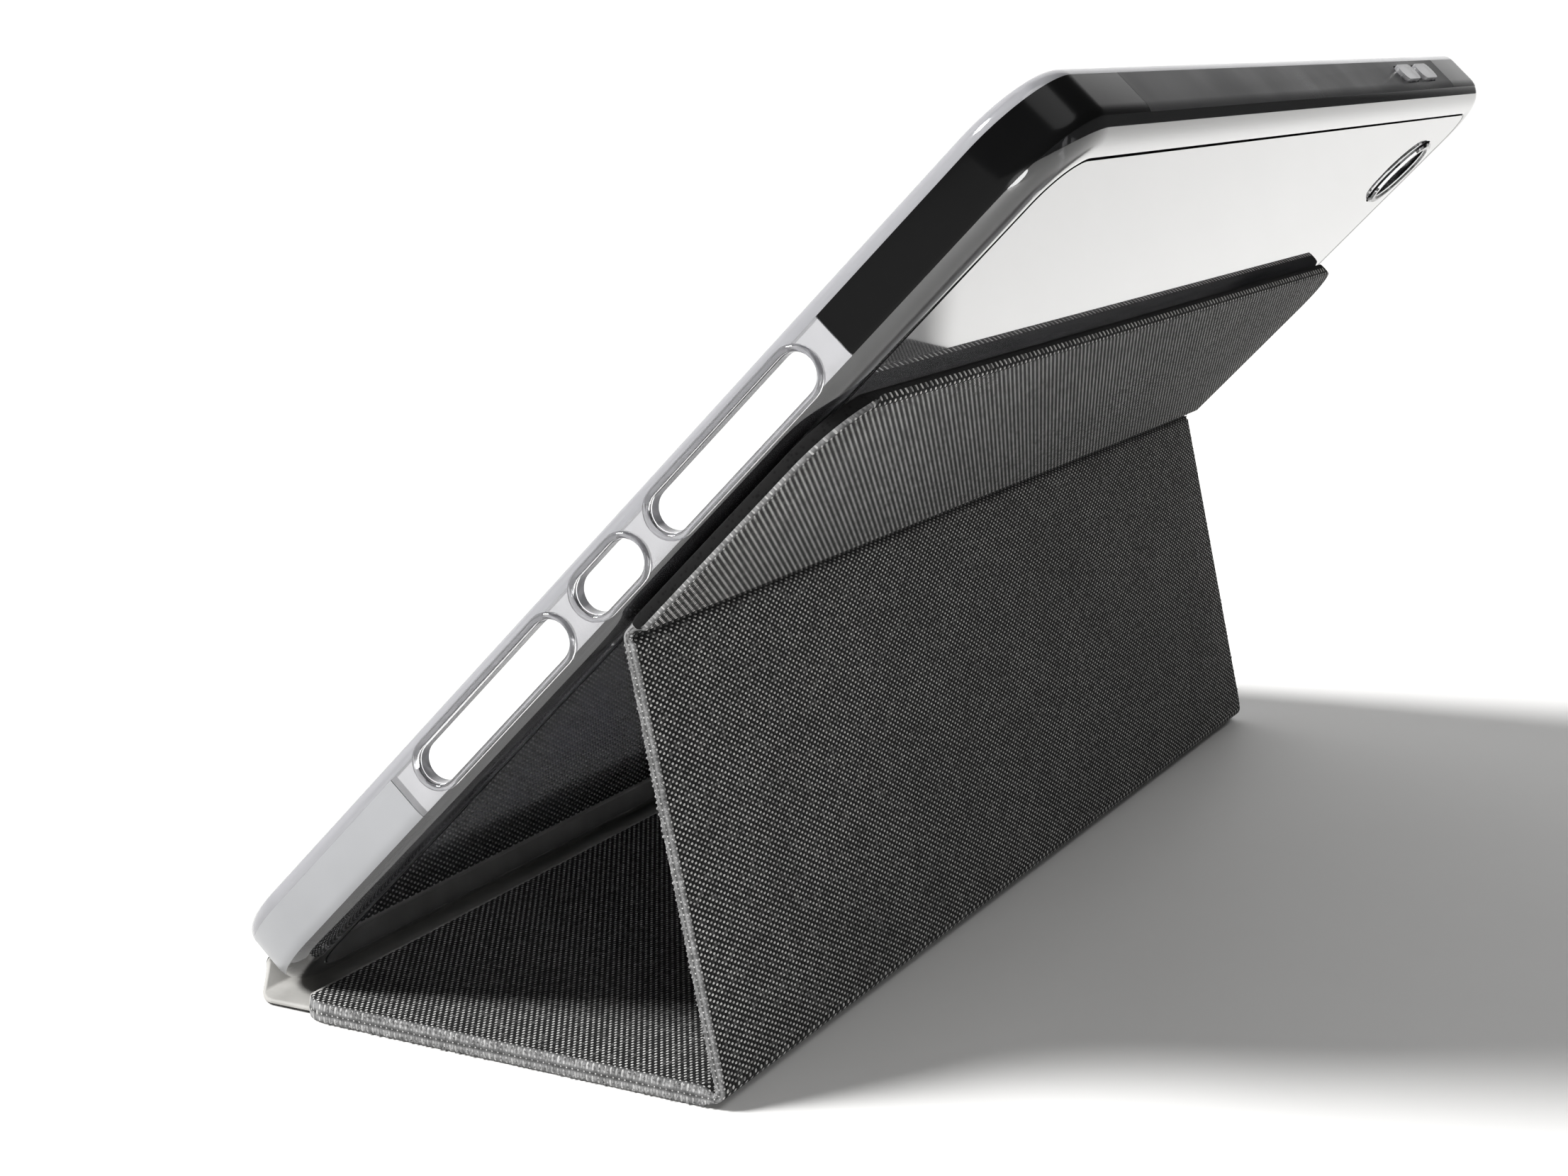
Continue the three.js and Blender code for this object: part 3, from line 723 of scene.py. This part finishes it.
class Ribbon:
    """A leafed strip of the cover: a rounded flat section swept along the side-view path."""

    EDGE = 0.5
    EDGE_STEPS = 8
    ACROSS = 18

    def __init__(self, stations, half, reach, shift=lambda distance: 0.0):
        self.stations = stations
        self.half = half
        self.reach = reach
        self.shift = shift

    def ring(self, place, heading, distance):
        """One section, as (point, x, height from the centreline, share of the way round the edge)."""
        half, reach = self.half(distance), self.reach(distance)
        flat = reach - self.EDGE
        normal = Vector((-math.sin(heading), math.cos(heading)))
        outline = [(-flat + 2 * flat * i / self.ACROSS, 1.0, 0.0) for i in range(self.ACROSS)]
        for k in range(self.EDGE_STEPS + 1):
            angle = math.radians(90 - 180 / self.EDGE_STEPS * k)
            outline.append((flat + self.EDGE * math.cos(angle), math.sin(angle), math.cos(angle)))
        outline += [(flat - 2 * flat * i / self.ACROSS, -1.0, 0.0) for i in range(1, self.ACROSS)]
        for k in range(self.EDGE_STEPS + 1):
            angle = math.radians(270 - 180 / self.EDGE_STEPS * k)
            outline.append((-flat + self.EDGE * math.cos(angle), math.sin(angle), -math.cos(angle)))
        points = []
        for x, share, edge in outline:
            spot = place + normal * (share * half + self.shift(distance))
            points.append((Vector((x, spot.x, spot.y)) * MM, x, share * half, edge))
        return points

    def mesh(self, start, end, face_material, pale=None):
        """The stretch from start to end, with a weave UV map and a pale-edge attribute."""
        bm = bmesh.new()
        uv_layer = bm.loops.layers.uv.new("weave")
        pale_layer = bm.verts.layers.float.new("pale_edge")
        crease_layer = bm.verts.layers.float.new("crease")
        rows = []
        for place, heading, distance in self.stations:
            if start - 1e-6 <= distance <= end + 1e-6:
                points = self.ring(place, heading, distance)
                verts = []
                for point, _, height, edge in points:
                    vert = bm.verts.new(point)
                    vert[pale_layer] = pale(edge, height, distance) if pale else 0.0
                    # The crease attribute masks the painted shade at the dock fold's groove.
                    vert[crease_layer] = self.shift(distance) / CREASE_SHIFT
                    verts.append(vert)
                rows.append((verts, points, distance))
        for (first, first_points, low), (second, second_points, high) in zip(rows, rows[1:]):
            count = len(first)
            for i in range(count):
                j = (i + 1) % count
                face = bm.faces.new((first[i], first[j], second[j], second[i]))
                picks = ((first_points[i], low), (first_points[j], low), (second_points[j], high),
                         (second_points[i], high))
                for loop, (point, distance) in zip(face.loops, picks):
                    offset = point[3] * abs(point[2]) * (1 if point[1] > 0 else -1)
                    loop[uv_layer].uv = ((point[1] + offset) * MM, distance * MM)
                share = (first_points[i][2] + first_points[j][2]) / 2
                face.material_index = face_material(share, (low + high) / 2)
        for verts, points, distance in (rows[0], rows[-1]):
            face = bm.faces.new(verts)
            for loop, point in zip(face.loops, points):
                loop[uv_layer].uv = (point[1] * MM, (distance + point[2]) * MM)
            face.material_index = face_material(0.0, distance)
        bmesh.ops.recalc_face_normals(bm, faces=bm.faces)
        made = bpy.data.meshes.new("ribbon")
        bm.to_mesh(made)
        bm.free()
        return made


def cover_path():
    """The centreline of base, rear leaf and dock leaf in the side view, and where its folds lie."""
    base_pivot, rear_pivot, dock_pivot = pivot("base_hinge"), pivot("rear_fold"), pivot("dock_fold")
    start = Vector((base_pivot.x + BASE_START, rear_pivot.y))
    end = dock_pivot + Vector((math.cos(TILT), math.sin(TILT))) * DOCK_WIDTH
    stations = rounded_path([start, rear_pivot, dock_pivot, end], [1.0, 1.2], 0.6)
    first_fold = (rear_pivot - start).length
    second_fold = first_fold + (dock_pivot - rear_pivot).length
    return stations, first_fold, second_fold


def end_round(distance, from_end, reach):
    """Share of the thickness left near a free end."""
    gone = min(distance, from_end) / reach
    return math.sqrt(max(1 - (1 - gone) ** 2, 0.0)) if gone < 1 else 1.0


def refine_ends(stations, total, depth=12.5):
    """Adds close stations near both free ends, for their rounded corners."""
    refined = []
    for (place, heading, distance), following in zip(stations, stations[1:] + [None]):
        refined.append((place, heading, distance))
        if following is None or following[2] - distance < 0.05:
            continue
        near_end = distance < depth or following[2] > total - depth
        count = 6 if near_end else 1
        for k in range(1, count):
            share = k / count
            further = distance + (following[2] - distance) * share
            refined.append((place.lerp(following[0], share), heading, further))
    return refined


def yarn_ends(name, ribbon, start, end, fold):
    """Short pale yarn ends that show along the raw edges of the woven plies."""
    random.seed(7)
    bm = bmesh.new()
    uv_layer = bm.loops.layers.uv.new("weave")
    pale_layer = bm.verts.layers.float.new("pale_edge")
    count = int((end - start) / YARN_END_PITCH)
    stations = ribbon.stations
    for row in range(count):
        wanted = start + YARN_END_PITCH * (row + 0.5)
        index = next(i for i, item in enumerate(stations) if item[2] >= wanted)
        place0, heading, low = stations[index - 1]
        place1, _, high = stations[index]
        place = place0.lerp(place1, (wanted - low) / max(high - low, 1e-6))
        half, reach = ribbon.half(wanted), ribbon.reach(wanted)
        normal = Vector((-math.sin(heading), math.cos(heading)))
        ahead = Vector((math.cos(heading), math.sin(heading)))
        for side in (-1, 1):
            for ply in (-0.62, 0.62):
                spot = place + normal * half * (ply + random.uniform(-0.12, 0.12))
                spot += ahead * random.uniform(-0.1, 0.1)
                x = side * (reach - 0.12 + random.uniform(-0.05, 0.08))
                radius = random.uniform(0.17, 0.27)
                centre = Vector((x, spot.x, spot.y)) * MM
                size = Matrix.Diagonal((random.uniform(1.2, 2.0), 1, 1, 1))
                made = bmesh.ops.create_icosphere(
                    bm, subdivisions=1, radius=radius * MM, matrix=Matrix.Translation(centre) @ size)
                for vert in made["verts"]:
                    vert[pale_layer] = random.uniform(0.35, 0.95)
    for face in bm.faces:
        for loop in face.loops:
            loop[uv_layer].uv = (loop.vert.co.x, loop.vert.co.y + loop.vert.co.z)
    mesh = bpy.data.meshes.new(name)
    bm.to_mesh(mesh)
    bm.free()
    piece = new_object(name, mesh, [WOVEN], 180)
    attach(piece, fold)


def attach(piece, fold):
    """Bakes a piece's transform into its mesh; the fold ends are read but no bend is made."""
    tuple(fold[0])
    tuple(fold[1])
    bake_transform(piece)


def fold_ends(corner, heading_in, heading_out, reach):
    """Row-frame points just before and just after a fold."""
    before = corner - Vector((math.cos(heading_in), math.sin(heading_in))) * reach
    after = corner + Vector((math.cos(heading_out), math.sin(heading_out))) * reach
    return tuple(Vector((0, point.x, point.y)) * MM for point in (before, after))


def build_cover():
    stations, first_fold, second_fold = cover_path()
    total = stations[-1][2]
    stations = refine_ends(stations, total)

    def half(distance):
        at_first = smoothstep((distance - first_fold + 3.4) / 2.4)
        after_first = smoothstep((distance - first_fold - 0.6) / 2.2)
        at_second = smoothstep((distance - second_fold + 2.0) / 1.3)
        after_second = smoothstep((distance - second_fold - 0.5) / 1.4)
        value = BASE_HALF + (FOLD_HALF - BASE_HALF) * at_first + (REAR_HALF - FOLD_HALF) * after_first
        value += (CREASE_HALF - REAR_HALF) * at_second + (DOCK_HALF - CREASE_HALF) * after_second
        return max(value * end_round(distance, total - distance, 0.9), THINNEST)

    def reach(distance):
        corner = BASE_CORNER if distance < total / 2 else DOCK_CORNER
        gap = min(distance, total - distance)
        if gap >= corner:
            return COVER_HALF
        return COVER_HALF - corner + math.sqrt(max(corner ** 2 - (corner - gap) ** 2, 0.0))

    def shift(distance):
        before = smoothstep((distance - second_fold + 2.0) / 1.3)
        return CREASE_SHIFT * before * (1 - smoothstep((distance - second_fold - 0.5) / 1.4))

    ribbon = Ribbon(stations, half, reach, shift)

    def is_suede(height, distance):
        return distance > second_fold + 1.2 and height > SUEDE_FROM * DOCK_HALF

    def face_material(height, distance):
        if distance < BINDING:
            return 2
        return 1 if is_suede(height, distance) else 0

    def pale(edge, height, distance):
        if is_suede(height, distance):
            return 0.0
        ply = abs(height) / max(half(distance), THINNEST)
        seam = 1 - smoothstep(abs(ply - 0.05) / 0.25)
        return max(0.0, min(1.0, edge * (0.75 - 0.7 * seam)))

    middle = min((item[2] for item in stations), key=lambda d: abs(d - (first_fold + second_fold) / 2))
    rear_heading = math.atan2(*(pivot("dock_fold") - pivot("rear_fold")).yx)
    first = fold_ends(pivot("rear_fold"), 0.0, rear_heading, 2.6)
    second = fold_ends(pivot("dock_fold"), rear_heading, TILT, 2.4)

    lower = new_object("cover_base_and_rear_cloth", ribbon.mesh(0, middle, face_material, pale),
                       [WOVEN, SUEDE, SKIN], 60)
    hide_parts("base_inner_cloth", "base_outer_cloth", "base_board", "rear_fold_roll")
    attach(lower, first)
    upper = new_object("cover_rear_and_dock_cloth", ribbon.mesh(middle, total, face_material, pale),
                       [WOVEN, SUEDE], 60)
    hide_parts("rear_inner_cloth", "rear_outer_cloth", "rear_board", "dock_inner_cloth",
                "dock_board", "dock_suede_backing", "dock_fold_roll",
                *[f"dock_magnet_{i + 1}" for i in range(4)])
    attach(upper, second)
    yarn_ends("base_and_rear_yarn_ends", ribbon, 5.0, middle, first)
    yarn_ends("rear_yarn_ends", ribbon, middle, second_fold + 0.5,
              second)


def build_spine():
    """The thin sheet from the shell's lower side, under its foot, to the base leaf."""
    hinge, base_pivot = pivot("spine_hinge"), pivot("base_hinge")
    dive = Vector((math.sin(TILT), -math.cos(TILT)))
    anchor = hinge - dive * 2.4
    inside_shell = anchor + Vector((math.cos(TILT), math.sin(TILT))) * SPINE_ROOT
    bend = hinge + dive * ((hinge.y - SPINE_MID) / math.cos(TILT))
    end = Vector((base_pivot.x + BASE_START + 1.6, SPINE_MID + 0.15))
    stations = rounded_path([inside_shell, anchor, bend, end], [0.6, 1.3], 0.6)
    total = stations[-1][2]

    def half(distance):
        return max(SPINE_HALF * end_round(distance, total - distance, 0.5), THINNEST)

    def reach(distance):
        return COVER_HALF - 2.6 - SPINE_TAPER * (1 - smoothstep(distance / 9.0))

    ribbon = Ribbon(stations, half, reach)
    middle_wanted = SPINE_ROOT + (bend - anchor).length + 2.6
    middle = min((item[2] for item in stations), key=lambda d: abs(d - middle_wanted))

    def face_material(height, distance):
        return 0 if height > SKIN_FROM * SPINE_HALF else 1

    base_heading = math.atan2(end.y - bend.y, end.x - bend.x)
    hinge_fold = fold_ends(hinge, TILT - math.pi / 2, TILT - math.pi / 2, 0.7)
    base_fold = fold_ends(base_pivot, base_heading, base_heading, 1.2)
    near_shell = new_object("spine_sheet_at_shell", ribbon.mesh(0, middle, face_material),
                            [SKIN, WOVEN], 60)
    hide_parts("spine_fold_roll", "spine_upper_skin")
    attach(near_shell, hinge_fold)
    near_base = new_object("spine_sheet_at_base", ribbon.mesh(middle, total, face_material),
                           [SKIN, WOVEN], 60)
    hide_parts("spine_lower_cloth", "base_fold_roll")
    attach(near_base, base_fold)


# ------------------------------------------------------------------ the stage


def build_stage():
    bpy.ops.mesh.primitive_plane_add(size=40)
    floor = bpy.context.object
    floor.name = "table"
    floor.data.materials.append(floor_material())
    floor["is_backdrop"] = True

    world = bpy.context.scene.world or bpy.data.worlds.new("studio")
    bpy.context.scene.world = world
    world.use_nodes = True
    tree = world.node_tree
    background = tree.nodes["Background"]
    background.inputs[0].default_value = (1, 1, 1, 1)
    toward = tree.nodes.new("ShaderNodeVectorMath")
    toward.operation = "DOT_PRODUCT"
    toward.inputs[1].default_value = BRIGHT_SIDE
    tree.links.new(tree.nodes.new("ShaderNodeTexCoord").outputs["Generated"], toward.inputs[0])
    fade = tree.nodes.new("ShaderNodeMapRange")
    fade.interpolation_type = "SMOOTHSTEP"
    for index, value in enumerate((FADE_START, FADE_END, WORLD_DARK, WORLD_BRIGHT), 1):
        fade.inputs[index].default_value = value
    tree.links.new(toward.outputs["Value"], fade.inputs[0])
    tree.links.new(fade.outputs[0], background.inputs[1])

    def light(kind, name, place, energy, **settings):
        data = bpy.data.lights.new(name, kind)
        data.energy = energy
        for key, value in settings.items():
            setattr(data, key, value)
        lamp = bpy.data.objects.new(name, data)
        lamp.location = place
        aim = Vector((0, 0.02, 0.05)) - Vector(place)
        lamp.rotation_euler = aim.to_track_quat("-Z", "Y").to_euler()
        bpy.context.scene.collection.objects.link(lamp)

    light("SUN", "key", (0.63, -0.84, 1.05), 4.9, angle=0.3)
    light("AREA", "port_side_fill", (0.32, 0.17, 0.05), 0.3, shape="DISK", size=0.12)
    light("AREA", "overhead", (0.1, 0.45, 1.0), 2.2, shape="DISK", size=0.6)


def build_camera():
    """Near the port end and behind the stand, looking along the shell at the woven leaves."""
    yaw, pitch, roll = (math.radians(value) for value in (113.69, 11.9, 2.91))
    reach = math.cos(pitch)
    forward = Vector((-math.sin(yaw) * reach, math.cos(yaw) * reach, -math.sin(pitch)))
    level = Vector((math.cos(yaw), math.sin(yaw), 0))
    upright = level.cross(forward)
    right = level * math.cos(roll) + upright * math.sin(roll)
    up = upright * math.cos(roll) - level * math.sin(roll)
    data = bpy.data.cameras.new("camera")
    data.lens = 68.0
    camera = bpy.data.objects.new("camera", data)
    turn = Matrix((right, up, -forward)).transposed().to_4x4()
    place = Vector((0.47776, pivot("rear_fold").x * MM + 0.15828, 0.15444))
    camera.matrix_world = Matrix.Translation(place) @ turn
    bpy.context.scene.collection.objects.link(camera)
    bpy.context.scene.camera = camera


build_port_wall()
build_rails()
build_cushions()
repaint_kept_nodes()
build_cover()
build_spine()
build_stage()
build_camera()
bpy.context.scene.view_settings.view_transform = "Standard"

boxes = {"cad": cad_box, "visual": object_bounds()}
{name: [list(corner) for corner in box] for name, box in boxes.items()}
